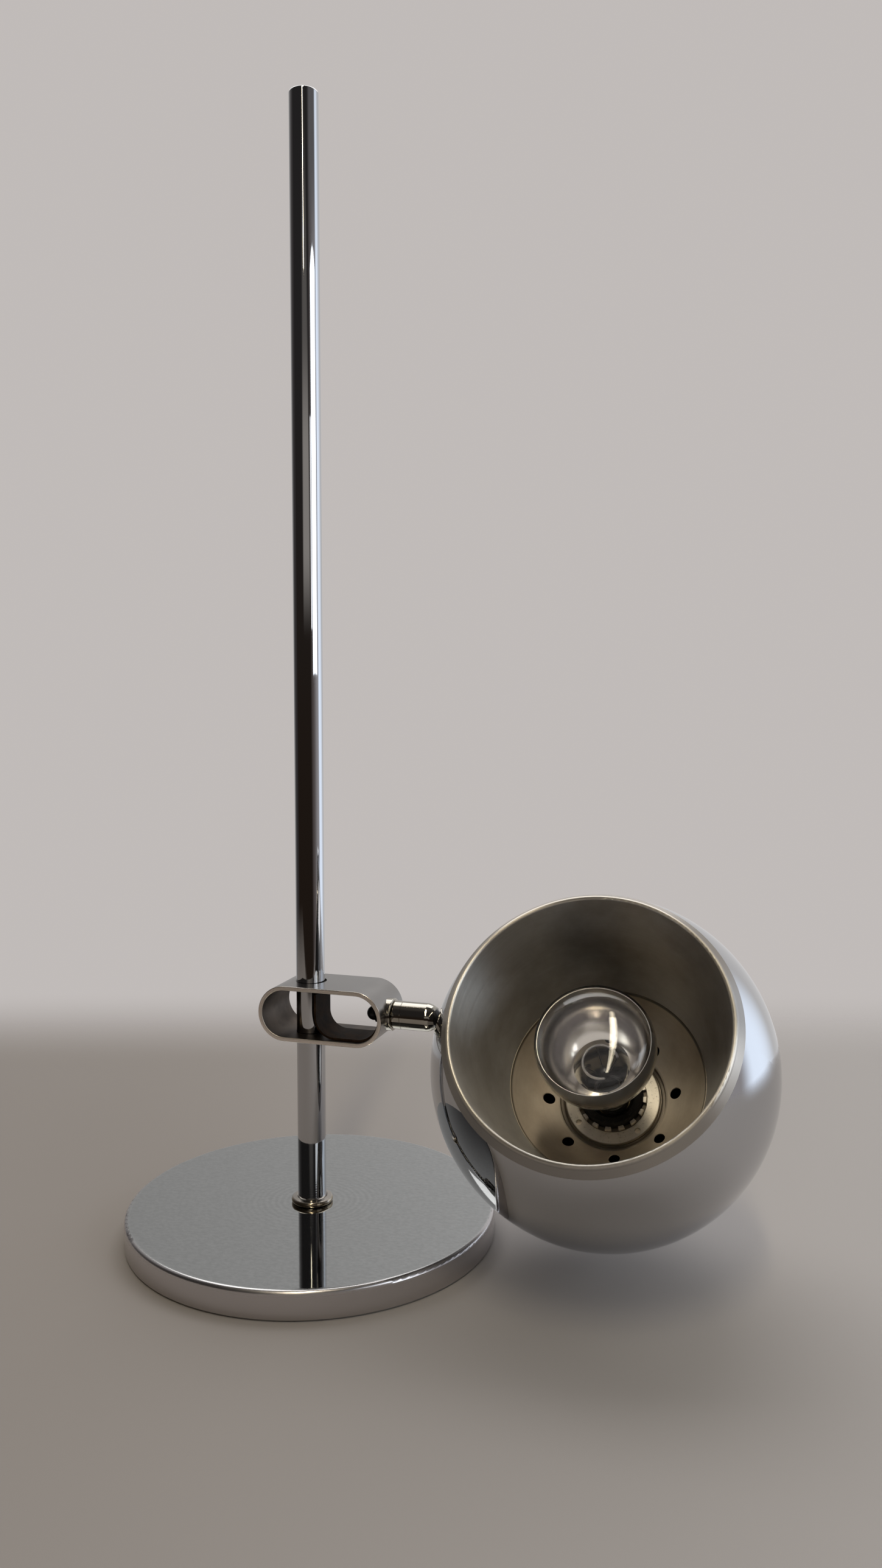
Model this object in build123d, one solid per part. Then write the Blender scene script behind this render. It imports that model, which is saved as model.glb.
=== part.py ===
from build123d import *
import math
import os

# Eyeball lamp for a table: a chromed ball shade on a short arm, carried by a looped slider
# that a leaf spring brakes on a tall round post, over a weighted disc base.
# Millimetres, +Z up. The origin is the middle of the base's underside and the arm points to +X.

# Base
base_radius = 84.2
base_height = 12.5
base_edge_radius = 1.8
cover_wall = 1.2
cover_lift = 0.8
pad_radius = 81.0
pad_thickness = 1.2
weight_radius = 82.6
nut_pocket_radius = 14.0
nut_pocket_roof = 9.2
rib_count = 6

# Post and its foot
post_radius = 6.5
post_wall = 1.25
post_top = 505.8
post_cap_height = 1.4
post_edge_radius = 0.9
collar_radius = 9.5
collar_foot_radius = 8.7
collar_height = 2.9
stud_radius = 4.0
running_gap = 0.06

# Slider: a bent strip loop, seen along Y as a stadium
loop_left = -19.4
loop_right = 39.6
loop_height = 25.0
loop_width = 29.0
strip = 1.9
slider_height = 103.3
post_hole_radius = 7.0
post_hole_offset = 0.42
brake_width = 16.5
brake_shift = -3.2
brake_thickness = 0.9
brake_bend_radius = 9.0
brake_leg_top = 9.0

# Arm
arm_radius = 6.25
arm_start = 40.7
arm_seam = 44.9
arm_end = 60.3
arm_bolt_radius = 2.0
washer_radius = 7.2
ball_radius = 4.5
ball_x = 57.8
seat_gap = 0.05
neck_radius = 2.5
ball_thread_radius = 2.0

# Ball shade
shade_radius = 73.0
shade_wall = 0.9
shade_reach = 78.05
shade_droop = 11.6
shade_elevation = 39.0
mouth_radius = 56.4
mouth_depth = 46.4
lip_roll = 0.95
reflector_wall = 0.7
dish_rim_radius = 42.4
dish_rim_depth = -13.0
dish_floor_depth = -35.3
dish_floor_radius = 23.6
vent_count = 8
vent_radius = 2.5
vent_circle = 28.0
vent_phase = 8.5
ring_radius = 22.0
ring_thickness = 1.5
lug_count = 16
spanner_hole_radius = 1.3

# Lampholder for a small screw cap, and its bulb
holder_radius = 13.7
holder_front = -29.6
holder_back = -50.0
holder_cap_back = -66.0
nipple_radius = 5.0
nipple_bore = 3.4
bulb_tip = -49.0
bulb_length = 87.0
bulb_radius = 25.0
bulb_neck_radius = 9.2
bulb_glass = 0.9
cap_radius = 6.9
thread_pitch = 2.82

arm_axis = Plane(origin=(0, 0, slider_height), x_dir=(0, 1, 0), z_dir=(1, 0, 0))
droop = math.radians(shade_droop)
stem_direction = Vector(math.cos(droop), 0, -math.sin(droop))
ball_centre = Vector(ball_x, 0, slider_height)
shade_centre = ball_centre + stem_direction * shade_reach
stem_axis = Plane(origin=ball_centre, x_dir=(0, 1, 0), z_dir=stem_direction)
elevation = math.radians(shade_elevation)
mouth_direction = Vector(0, -math.cos(elevation), math.sin(elevation))
head = Plane(origin=shade_centre, x_dir=(1, 0, 0), z_dir=mouth_direction)


def turned(*outline):
    """Turn a closed outline, drawn as radius against height, about the Z axis."""
    return revolve(Plane.XZ * make_face(outline), Axis.Z)


def turned_points(*points):
    """Turn a straight-sided outline given by its corners."""
    return turned(*Polyline(*points, close=True).edges())


def tube(outer, inner, low, high):
    """A round tube or, with no bore, a rod along Z."""
    if inner > 0:
        return turned_points((inner, low), (outer, low), (outer, high), (inner, high))
    return turned_points((0, low), (outer, low), (outer, high), (0, high))


def hexagon_nut(across_flats, bore, low, high):
    """A plain nut with its corners turned off at both faces."""
    corner_radius = across_flats / math.sqrt(3)
    body = extrude(RegularPolygon(corner_radius, 6), high - low)
    chamfer_depth = (corner_radius - across_flats / 2) * 0.5
    crown = turned_points(
        (0, low),
        (across_flats / 2, low),
        (corner_radius, low + chamfer_depth),
        (corner_radius, high - chamfer_depth),
        (across_flats / 2, high),
        (0, high),
    )
    return (Pos(0, 0, low) * body & crown) - tube(bore, 0, low - 1, high + 1)


def save(name, solid):
    solid.label = name
    export_step(solid, f"parts/{name}.step")


# Base

def base_cover():
    """Pressed disc with a turned-down skirt and a small radius round its top edge."""
    shell = tube(base_radius, 0, cover_lift, base_height)
    top_edge = shell.edges().filter_by(GeomType.CIRCLE).sort_by(Axis.Z)[-1]
    shell = fillet(top_edge, base_edge_radius)
    shell -= tube(base_radius - cover_wall, 0, cover_lift - 1, base_height - cover_wall)
    return shell - tube(stud_radius + 0.3, 0, 0, base_height + 1)


def base_weight():
    """Cast disc that fills the cover, with a pocket for the nut and cast lightening hollows."""
    roof = base_height - cover_wall
    disc = tube(weight_radius, 0, pad_thickness, roof)
    disc -= tube(nut_pocket_radius, 0, 0, nut_pocket_roof)
    disc -= tube(stud_radius + 0.5, 0, 0, base_height)
    hollow_inner = nut_pocket_radius + 8
    hollow_outer = weight_radius - 14
    hollow = tube(hollow_outer, hollow_inner, pad_thickness - 1, pad_thickness + 2.5)
    rib = Pos((hollow_inner + hollow_outer) / 2, 0, pad_thickness) * Box(
        hollow_outer - hollow_inner + 4, 7, 8
    )
    for step in range(rib_count):
        hollow -= Rot(0, 0, step * 360 / rib_count) * rib
    return disc - hollow


def base_pad():
    """Felt disc under the weight, with its lower edge worn round."""
    pad = tube(pad_radius, 0, 0, pad_thickness)
    return fillet(pad.edges().sort_by(Axis.Z)[0], 0.4)


def foot_collar():
    """Low rounded ring that hides the joint of post and base."""
    bore = post_radius + running_gap
    low = base_height
    high = base_height + collar_height
    return turned(
        Line((bore, low), (collar_foot_radius, low)),
        ThreePointArc(
            (collar_foot_radius, low),
            (collar_radius, low + collar_height * 0.5),
            (collar_foot_radius, low + collar_height * 0.9),
        ),
        Line((collar_foot_radius, low + collar_height * 0.9), (bore + 0.5, high)),
        Line((bore + 0.5, high), (bore, high - 0.3)),
        Line((bore, high - 0.3), (bore, low)),
    )


def foot_washer():
    return tube(12.0, stud_radius + 0.15, nut_pocket_roof - 1.6, nut_pocket_roof)


def foot_nut():
    return hexagon_nut(13.0, stud_radius + running_gap, 1.8, nut_pocket_roof - 1.6)


# Post

def post():
    """Plain drawn tube."""
    return tube(
        post_radius,
        post_radius - post_wall,
        base_height + running_gap,
        post_top - post_cap_height,
    )


def post_cap():
    """Flush plug that closes the tube, with a soft outer edge."""
    head_low = post_top - post_cap_height
    plug = tube(post_radius, 0, head_low, post_top)
    plug = fillet(plug.edges().filter_by(GeomType.CIRCLE).sort_by(Axis.Z)[-1], post_edge_radius)
    spigot = tube(post_radius - post_wall - 0.02, 0, head_low - 7, head_low)
    return plug + spigot


def foot_plug():
    """Threaded slug pressed into the bottom of the tube."""
    low = base_height + running_gap
    slug = tube(post_radius - post_wall - 0.02, stud_radius + 0.02, low, low + 24)
    return chamfer(slug.edges().group_by(Axis.Z)[-1].sort_by(SortBy.RADIUS)[-1], 0.8)


def foot_stud():
    stud = tube(stud_radius, 0, 1.5, base_height + 20)
    return chamfer(stud.edges().filter_by(GeomType.CIRCLE), 0.6)


# Slider

def stadium(inset):
    """Loop outline in the XZ plane, drawn inwards by the inset."""
    length = loop_right - loop_left - 2 * inset
    height = loop_height - 2 * inset
    middle = (loop_left + loop_right) / 2
    return Pos(middle, slider_height) * SlotOverall(length, height)


def slider_loop():
    """Strip bent into a closed loop and bored through both flats for the post."""
    face = Plane.XZ * (stadium(0) - stadium(strip))
    loop = extrude(face, loop_width / 2, both=True)
    long_edges = loop.edges().filter_by(lambda edge: abs(abs(edge.center().Y) - loop_width / 2) < 0.01)
    loop = fillet(long_edges, 0.3)
    post_hole = tube(post_hole_radius, 0, slider_height - loop_height, slider_height + loop_height)
    loop -= Pos(post_hole_offset, 0, 0) * post_hole
    bolt_hole = arm_axis * tube(arm_bolt_radius + 0.1, 0, loop_right - 8, loop_right + 4)
    return loop - bolt_hole


def brake_spring():
    """Leaf spring bent to a J: bolted in the loop's end, its free leg pressing on the post."""
    end_radius = loop_height / 2 - strip - 0.03 - brake_thickness / 2
    end_x = loop_right - loop_height / 2
    leg_x = post_radius + 0.1 + brake_thickness / 2
    floor_z = slider_height - end_radius
    leg_foot_z = floor_z + brake_bend_radius
    bend_x = leg_x + brake_bend_radius
    corner = math.sqrt(0.5)
    above_bolt = math.radians(26)
    below_bolt = math.radians(-32)
    route = [
        Line((leg_x, slider_height + brake_leg_top), (leg_x, leg_foot_z)),
        ThreePointArc(
            (leg_x, leg_foot_z),
            (bend_x - brake_bend_radius * corner, leg_foot_z - brake_bend_radius * corner),
            (bend_x, floor_z),
        ),
        Line((bend_x, floor_z), (end_x, floor_z)),
        ThreePointArc(
            (end_x, floor_z),
            (
                end_x + end_radius * math.cos(below_bolt),
                slider_height + end_radius * math.sin(below_bolt),
            ),
            (
                end_x + end_radius * math.cos(above_bolt),
                slider_height + end_radius * math.sin(above_bolt),
            ),
        ),
    ]
    strip_face = Plane.XZ * trace(Wire(route), line_width=brake_thickness)
    leaf = extrude(strip_face, brake_width / 2, both=True)
    bolt_hole = arm_axis * tube(arm_bolt_radius + 0.1, 0, end_x, loop_right)
    return Pos(0, brake_shift, 0) * leaf - bolt_hole


def loop_inner_bend(radius):
    """Solid rod along Y that fills the loop's end bend out to a radius."""
    middle = Pos(loop_right - loop_height / 2, 0, slider_height)
    return middle * Rot(90, 0, 0) * Cylinder(radius, 40)


def nut_saddle():
    """Washer that is round on the spring's side and flat for the nut."""
    bend_radius = loop_height / 2 - strip - 0.06 - brake_thickness
    blank = arm_axis * tube(4.3, arm_bolt_radius + 0.1, arm_start - 5.3, arm_start - 2)
    return blank & loop_inner_bend(bend_radius)


def arm_nut():
    """Domed nut that closes the bolt's inner end."""
    face = arm_start - 5.33
    hex_height = 3.2
    dome_tip = face - 7.6
    dome_radius = 3.25
    body = hexagon_nut(7.0, arm_bolt_radius + 0.02, face - hex_height, face)
    dome_base = face - hex_height
    dome = turned(
        Line((0, dome_tip), (0, dome_base)),
        Line((0, dome_base), (dome_radius, dome_base)),
        Line((dome_radius, dome_base), (dome_radius, dome_tip + dome_radius)),
        ThreePointArc(
            (dome_radius, dome_tip + dome_radius),
            (dome_radius * math.sqrt(0.5), dome_tip + dome_radius * (1 - math.sqrt(0.5))),
            (0, dome_tip),
        ),
    )
    dome -= tube(arm_bolt_radius + 0.02, 0, dome_tip + 2.4, face)
    return arm_axis * (body + dome)


def arm_bolt():
    """Headless bolt from the domed nut into the arm."""
    bolt = tube(arm_bolt_radius, 0, arm_start - 5.33 - 4.9, arm_start + 6)
    return arm_axis * chamfer(bolt.edges().filter_by(GeomType.CIRCLE), 0.4)


def arm_washer():
    """Thick washer hollowed on one side to sit on the loop's round end."""
    blank = tube(washer_radius, arm_bolt_radius + 0.1, loop_right - 2.3, arm_start)
    rim = blank.edges().filter_by(GeomType.CIRCLE).sort_by(SortBy.RADIUS)[-2:]
    blank = fillet(rim.sort_by(Axis.Z)[-1], 0.6)
    return arm_axis * blank - loop_inner_bend(loop_height / 2 + 0.02)


def arm_hub():
    """Short turned end with a spigot that the sleeve screws over."""
    spigot_end = arm_seam + 4.6
    bolt_depth = arm_start + 6.4
    bore = arm_bolt_radius + 0.02
    return arm_axis * turned_points(
        (bore, arm_start),
        (arm_radius - 0.7, arm_start),
        (arm_radius, arm_start + 0.7),
        (arm_radius, arm_seam - 0.15),
        (arm_radius - 0.15, arm_seam),
        (4.8, arm_seam),
        (4.8, spigot_end - 0.5),
        (4.3, spigot_end),
        (0, spigot_end),
        (0, bolt_depth),
        (bore, bolt_depth),
    )


def arm_sleeve():
    """Long turned end: screws over the hub and closes round the ball."""
    thread_radius = 4.85
    bore = ball_radius + seat_gap
    shoulder = arm_seam + 5.0
    seat_half = math.radians(16)
    mouth_reach = arm_end - ball_x
    mouth_radius_here = math.sqrt(bore**2 - mouth_reach**2)
    body = turned(
        Line((thread_radius, arm_seam), (arm_radius - 0.15, arm_seam)),
        Line((arm_radius - 0.15, arm_seam), (arm_radius, arm_seam + 0.15)),
        Line((arm_radius, arm_seam + 0.15), (arm_radius, arm_end - 3.7)),
        ThreePointArc(
            (arm_radius, arm_end - 3.7), (arm_radius - 0.75, arm_end - 1.45), (4.6, arm_end)
        ),
        Line((4.6, arm_end), (mouth_radius_here, arm_end)),
        ThreePointArc(
            (mouth_radius_here, arm_end),
            (bore * math.cos(seat_half), ball_x + bore * math.sin(seat_half)),
            (bore, ball_x),
        ),
        Line((bore, ball_x), (bore, shoulder)),
        Line((bore, shoulder), (thread_radius, shoulder)),
        Line((thread_radius, shoulder), (thread_radius, arm_seam)),
    )
    return arm_axis * body


def seat_spring():
    """Coned spring washer that loads the seat against the ball."""
    low = arm_seam + 4.65
    thick = 0.5
    rise = 0.9
    return arm_axis * turned_points(
        (2.2, low + rise), (4.3, low), (4.3, low + thick), (2.2, low + rise + thick)
    )


def ball_seat():
    """Cup that grips the ball from behind."""
    low = arm_seam + 6.1
    cup = tube(ball_radius - 0.02, 1.2, low, ball_x - 1.6)
    return arm_axis * cup - Pos(ball_centre) * Sphere(ball_radius + seat_gap)


# Swivel

def swivel_ball():
    """Ball with a neck that stands on the shade and a threaded end inside it."""
    surface = shade_reach - shade_radius
    neck = tube(neck_radius, 0, 0, surface - 0.05)
    thread = tube(ball_thread_radius, 0, 0, surface + 9.0)
    thread = chamfer(thread.edges().filter_by(GeomType.CIRCLE).sort_by(Axis.Z)[-1], 0.4)
    return stem_axis * (Sphere(ball_radius) + neck + thread)


def swivel_washer():
    inside = shade_reach - shade_radius + shade_wall + 0.28
    return stem_axis * tube(5.0, ball_thread_radius + 0.02, inside, inside + 1.0)


def swivel_nut():
    """Self-locking nut: a hexagon with a plain round collar."""
    inside = shade_reach - shade_radius + shade_wall + 0.28 + 1.0
    body = hexagon_nut(7.0, ball_thread_radius + 0.02, inside, inside + 3.2)
    collar = tube(3.3, ball_thread_radius + 0.02, inside + 3.2, inside + 5.0)
    return stem_axis * (body + collar)


# Shade, drawn about its own axis with the mouth upwards

def shade_shell():
    """Spun ball, open at the mouth and bored for the swivel and the nipple."""
    ball = Sphere(shade_radius) - Sphere(shade_radius - shade_wall)
    rim_height = math.sqrt(shade_radius**2 - (mouth_radius + 1.6) ** 2)
    ball -= Pos(0, 0, rim_height + 50) * Box(200, 200, 100)
    ball -= tube(nipple_radius + 0.1, 0, -shade_radius - 5, -shade_radius + 5)
    swivel_hole = stem_axis * tube(ball_thread_radius + 0.05, 0, 2, 12)
    return head * ball - swivel_hole


def inner_reflector():
    """Spun liner: a flared wall, a lip rolled out over the shell and a turned-out foot."""
    inner_lip = mouth_radius - lip_roll
    lip_top = mouth_depth
    wall = reflector_wall
    belly = (51.3, 15.0)
    skirt_clear = shade_radius + 0.12
    tail_angle = math.radians(35.6)
    roll_out = mouth_radius + lip_roll
    tail = (skirt_clear * math.cos(tail_angle), skirt_clear * math.sin(tail_angle))
    tail_outer = (
        (skirt_clear + wall) * math.cos(tail_angle),
        (skirt_clear + wall) * math.sin(tail_angle),
    )
    shoulder_angle = math.radians(38.6)
    shoulder = (skirt_clear * math.cos(shoulder_angle), skirt_clear * math.sin(shoulder_angle))
    shoulder_outer = (
        (skirt_clear + wall) * math.cos(shoulder_angle),
        (skirt_clear + wall) * math.sin(shoulder_angle),
    )
    middle_angle = (tail_angle + shoulder_angle) / 2
    middle = (skirt_clear * math.cos(middle_angle), skirt_clear * math.sin(middle_angle))
    middle_outer = (
        (skirt_clear + wall) * math.cos(middle_angle),
        (skirt_clear + wall) * math.sin(middle_angle),
    )
    crest = (mouth_radius, lip_top + lip_roll)
    crest_under = (mouth_radius + 0.1, lip_top + lip_roll - wall)
    foot = (dish_rim_radius, dish_rim_depth)
    foot_outer = (dish_rim_radius + wall, dish_rim_depth + wall)
    flange = dish_rim_radius + 3.0
    return head * turned(
        ThreePointArc(foot, belly, (inner_lip, lip_top)),
        ThreePointArc((inner_lip, lip_top), (inner_lip + 0.28, lip_top + 0.67), crest),
        ThreePointArc(crest, (roll_out - 0.2, lip_top + 0.55), shoulder_outer),
        ThreePointArc(shoulder_outer, middle_outer, tail_outer),
        Line(tail_outer, tail),
        ThreePointArc(tail, middle, shoulder),
        Line(shoulder, crest_under),
        Line(crest_under, (inner_lip + wall, lip_top)),
        ThreePointArc((inner_lip + wall, lip_top), (belly[0] + wall, belly[1]), foot_outer),
        Line(foot_outer, (flange, dish_rim_depth + wall)),
        Line((flange, dish_rim_depth + wall), (flange, dish_rim_depth)),
        Line((flange, dish_rim_depth), foot),
    )


def reflector_dish():
    """Bowl behind the bulb with a ring of vents and a pressed groove round its flat floor."""
    wall = 0.8
    rim = (dish_rim_radius - 0.3, dish_rim_depth - 0.05)
    floor_edge = (dish_floor_radius, dish_floor_depth + 1.0)
    bowl_centre = (
        rim[0] ** 2 + rim[1] ** 2 - floor_edge[0] ** 2 - floor_edge[1] ** 2
    ) / (2 * (rim[1] - floor_edge[1]))
    bowl_radius = math.hypot(rim[0], rim[1] - bowl_centre)
    half_way = math.atan2(rim[1] - bowl_centre, rim[0])
    half_way = (half_way + math.atan2(floor_edge[1] - bowl_centre, floor_edge[0])) / 2

    def on_bowl(extra):
        reach = bowl_radius + extra
        return (reach * math.cos(half_way), bowl_centre + reach * math.sin(half_way))

    def outside(point):
        stretch = (bowl_radius + wall) / bowl_radius
        return (point[0] * stretch, bowl_centre + (point[1] - bowl_centre) * stretch)

    floor = dish_floor_depth
    groove_low = floor - 0.9
    flange = dish_rim_radius + 3.0
    hole = holder_radius + 0.35
    bowl_top = outside(rim)
    bowl_foot = outside(floor_edge)
    bowl = turned(
        ThreePointArc(rim, on_bowl(0), floor_edge),
        Line(floor_edge, (dish_floor_radius - 0.5, groove_low)),
        Line((dish_floor_radius - 0.5, groove_low), (ring_radius + 0.15, groove_low)),
        Line((ring_radius + 0.15, groove_low), (ring_radius - 0.5, floor)),
        Line((ring_radius - 0.5, floor), (hole, floor)),
        Line((hole, floor), (hole, floor - wall)),
        Line((hole, floor - wall), (ring_radius - 0.8, floor - wall)),
        Line((ring_radius - 0.8, floor - wall), (ring_radius - 0.1, groove_low - wall)),
        Line((ring_radius - 0.1, groove_low - wall), (dish_floor_radius, groove_low - wall)),
        Line((dish_floor_radius, groove_low - wall), bowl_foot),
        ThreePointArc(bowl_foot, on_bowl(wall), bowl_top),
        Line(bowl_top, (flange, bowl_top[1])),
        Line((flange, bowl_top[1]), (flange, dish_rim_depth - 0.05)),
        Line((flange, dish_rim_depth - 0.05), rim),
    )
    vent = Pos(vent_circle, 0, -30) * Cylinder(vent_radius, 14)
    for step in range(vent_count):
        turn = vent_phase + step * 360 / vent_count
        bowl -= Rot(0, 0, turn) * vent
    return head * bowl


def shade_ring():
    """Screw ring that clamps the dish: a flat flange, a lugged collar and two spanner holes."""
    low = dish_floor_depth + 0.03
    top = low + ring_thickness
    collar_inner = holder_radius + 0.25
    collar_outer = collar_inner + 1.5
    collar_top = top + 2.2
    ring = turned_points(
        (collar_inner, low),
        (ring_radius - 0.7, low),
        (ring_radius - 0.7, top - 0.4),
        (ring_radius - 1.1, top),
        (collar_outer, top),
        (collar_outer, collar_top - 0.3),
        (collar_outer - 0.3, collar_top),
        (collar_inner, collar_top),
    )
    notch = Pos((collar_inner + collar_outer) / 2, 0, top + 1.6) * Box(4, 3.2, 2.6)
    for step in range(lug_count):
        ring -= Rot(0, 0, (step + 0.5) * 360 / lug_count) * notch
    spanner_hole = Pos(18.4, 0, low) * Cylinder(spanner_hole_radius, 6)
    for turn in (-137, -47, 43, 133):
        ring -= Rot(0, 0, turn) * spanner_hole
    return head * ring


# Lampholder

def lampholder_body():
    """Moulded sleeve with a flange behind the dish and a flared mouth for the bulb's neck."""
    flange_top = dish_floor_depth - 0.83
    return head * turned_points(
        (8.0, holder_back),
        (holder_radius, holder_back),
        (holder_radius, flange_top - 2.2),
        (holder_radius + 5.2, flange_top - 2.2),
        (holder_radius + 5.2, flange_top),
        (holder_radius, flange_top),
        (holder_radius, holder_front - 0.8),
        (holder_radius - 0.8, holder_front),
        (10.4, holder_front),
        (9.6, holder_front - 3.4),
        (8.0, holder_front - 4.4),
    )


def lampholder_cap():
    """Domed back of the holder, hollow round the terminals and threaded on the nipple."""
    back = holder_cap_back
    outer = holder_radius + 0.6
    shell = turned(
        Line((nipple_radius + 0.02, back), (8.6, back)),
        ThreePointArc((8.6, back), (12.6, back + 2.6), (outer, back + 7.0)),
        Line((outer, back + 7.0), (outer, holder_back - 0.02)),
        Line((outer, holder_back - 0.02), (outer - 2.3, holder_back - 0.02)),
        Line((outer - 2.3, holder_back - 0.02), (outer - 2.3, back + 6.0)),
        Line((outer - 2.3, back + 6.0), (8.0, back + 2.6)),
        Line((8.0, back + 2.6), (nipple_radius + 0.02, back + 2.6)),
        Line((nipple_radius + 0.02, back + 2.6), (nipple_radius + 0.02, back)),
    )
    return head * shell


def terminal_block():
    """Ceramic disc that carries the contact and both wire terminals."""
    low = holder_back - 6.5
    block = tube(11.6, 0, low, holder_back - 0.05)
    for side in (-1, 1):
        block -= Pos(side * 6.4, 0, low) * Cylinder(1.7, 5)
        block -= Pos(side * 6.4, 8, low + 2.2) * Rot(90, 0, 0) * Cylinder(1.2, 10)
    return head * block


def terminal_screws():
    """Two slotted brass screws, one in each terminal."""
    screws = []
    for side in (-1, 1):
        low = holder_back - 7.6
        screw = tube(1.65, 0, low, low + 3.4)
        screw -= Pos(0, 0, low) * Box(0.5, 4, 1.2)
        screws.append(Pos(side * 6.4, 0, 0) * screw)
    return head * Compound(screws)


def screw_shell():
    """Rolled brass thread that takes the bulb's cap."""
    return head * tube(7.6, cap_radius + 0.3, holder_back + 0.3, holder_front - 6.5)


def centre_contact():
    """Springy brass tongue under the bulb's tip."""
    low = holder_back - 0.02
    leaf = Pos(1.2, 0, low + 0.25) * Box(8.4, 3.0, 0.5)
    crown = Pos(0, 0, low) * Cylinder(1.5, 0.95, align=(Align.CENTER, Align.CENTER, Align.MIN))
    return head * (leaf + crown)


def nipple():
    """Threaded tube that ties the holder to the back of the shade."""
    low = -shade_radius - 6.5
    high = holder_cap_back + 2.6
    body = tube(nipple_radius, nipple_bore, low, high)
    return head * chamfer(body.edges().filter_by(GeomType.CIRCLE).sort_by(SortBy.RADIUS)[-2:], 0.4)


def nipple_nut():
    inside = -shade_radius + shade_wall + 0.5
    return head * hexagon_nut(14.0, nipple_radius + 0.02, inside, inside + 3.5)


def cord_bushing():
    """Ribbed plastic sleeve over the nipple's outer end, with the hole for the lead."""
    high = -shade_radius - 0.25
    low = high - 9.5
    floor = low + 2.6
    body = turned(
        Line((nipple_radius + 0.03, high), (7.4, high)),
        Line((7.4, high), (7.4, low + 2.0)),
        ThreePointArc((7.4, low + 2.0), (6.8, low + 0.6), (5.4, low)),
        Line((5.4, low), (nipple_bore, low)),
        Line((nipple_bore, low), (nipple_bore, floor)),
        Line((nipple_bore, floor), (nipple_radius + 0.03, floor)),
        Line((nipple_radius + 0.03, floor), (nipple_radius + 0.03, high)),
    )
    flute = Pos(7.75, 0, (low + high) / 2 + 1.2) * Cylinder(0.8, 5)
    for step in range(18):
        body -= Rot(0, 0, step * 20) * flute
    return head * body


# Bulb, drawn upwards from the tip of its cap

bulb_place = head * Pos(0, 0, bulb_tip)
neck_height = 29.0
widest_height = 72.6
ball_end = -63
silver_end = -60
silver_edge = 15


def on_ball(inset, turn):
    """Point of the bulb's ball-shaped body, turned up or down from its widest circle."""
    reach = bulb_radius - inset
    return (reach * math.cos(math.radians(turn)), widest_height + reach * math.sin(math.radians(turn)))


def ball_arc(inset, start, end):
    """Side of the ball-shaped body between two turns from its widest circle."""
    return ThreePointArc(on_ball(inset, start), on_ball(inset, (start + end) / 2), on_ball(inset, end))


def bulb_flare(inset):
    """Slim neck that opens into the ball-shaped body."""
    joint = on_ball(inset, ball_end)
    return Bezier(
        (bulb_neck_radius - inset, neck_height),
        (bulb_neck_radius + 0.4 - inset, neck_height + 13),
        (joint[0] - 1.96, joint[1] - 1.0),
        joint,
    )


def bulb_front_curve(inset):
    """Rounded shoulder and shallow clear dome."""
    edge = on_ball(inset, silver_edge)
    front = bulb_length - inset
    return Bezier(edge, (edge[0] - 1.3, edge[1] + 4.8), (13.0, front), (0, front))


def bulb_glass_shell():
    """Blown envelope: slim neck, ball-shaped body, domed clear front."""
    foot_radius = cap_radius - 0.5
    inset = bulb_glass
    outer_neck = (bulb_neck_radius, neck_height)
    inner_neck = (bulb_neck_radius - inset, neck_height)
    glass = turned(
        Line((foot_radius, 22.6), (foot_radius, 25.6)),
        ThreePointArc((foot_radius, 25.6), (bulb_neck_radius - 0.7, 26.7), outer_neck),
        bulb_flare(0),
        ball_arc(0, ball_end, silver_edge),
        bulb_front_curve(0),
        Line((0, bulb_length), (0, bulb_length - inset)),
        bulb_front_curve(inset),
        ball_arc(inset, silver_edge, ball_end),
        bulb_flare(inset),
        ThreePointArc(inner_neck, (bulb_neck_radius - 0.7 - inset, 27.2), (foot_radius - inset, 26.0)),
        Line((foot_radius - inset, 26.0), (foot_radius - inset, 22.6)),
        Line((foot_radius - inset, 22.6), (foot_radius, 22.6)),
    )
    return bulb_place * glass


def bulb_mirror():
    """Silver layer on the inside of the ball-shaped body, clear of the neck and the front."""
    layer = 0.25
    gap = bulb_glass + 0.02
    inner = gap + layer
    side = turned(
        ball_arc(gap, silver_end, silver_edge),
        Line(on_ball(gap, silver_edge), on_ball(inner, silver_edge)),
        ball_arc(inner, silver_edge, silver_end),
        Line(on_ball(inner, silver_end), on_ball(gap, silver_end)),
    )
    return bulb_place * side


def bulb_cap():
    """Rolled screw cap: round threads, a plain skirt and a coned end."""
    skirt = 25.4
    wall = 0.35
    crest = cap_radius
    root = cap_radius - 0.75
    turns = 5
    first = 7.0
    outline = [Line((crest - wall, skirt), (crest, skirt)), Line((crest, skirt), (crest, 22.0))]
    height = 22.0
    outline.append(Line((crest, 22.0), (root, first + turns * thread_pitch)))
    for step in range(turns, 0, -1):
        height = first + step * thread_pitch
        outline.append(
            ThreePointArc(
                (root, height),
                (crest, height - thread_pitch / 2),
                (root, height - thread_pitch),
            )
        )
    outline.append(Line((root, first), (4.6, 4.4)))
    outline.append(Line((4.6, 4.4), (4.3, 4.6)))
    outline.append(Line((4.3, 4.6), (root - wall, first)))
    outline.append(Line((root - wall, first), (root - wall, 21.6)))
    outline.append(Line((root - wall, 21.6), (crest - wall, 22.3)))
    outline.append(Line((crest - wall, 22.3), (crest - wall, skirt)))
    return bulb_place * turned(*outline)


def bulb_insulator():
    """Black glass cone between the cap and its contact."""
    return bulb_place * turned_points((0, 1.8), (2.6, 2.0), (4.25, 4.3), (4.25, 5.4), (0, 5.4))


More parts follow.
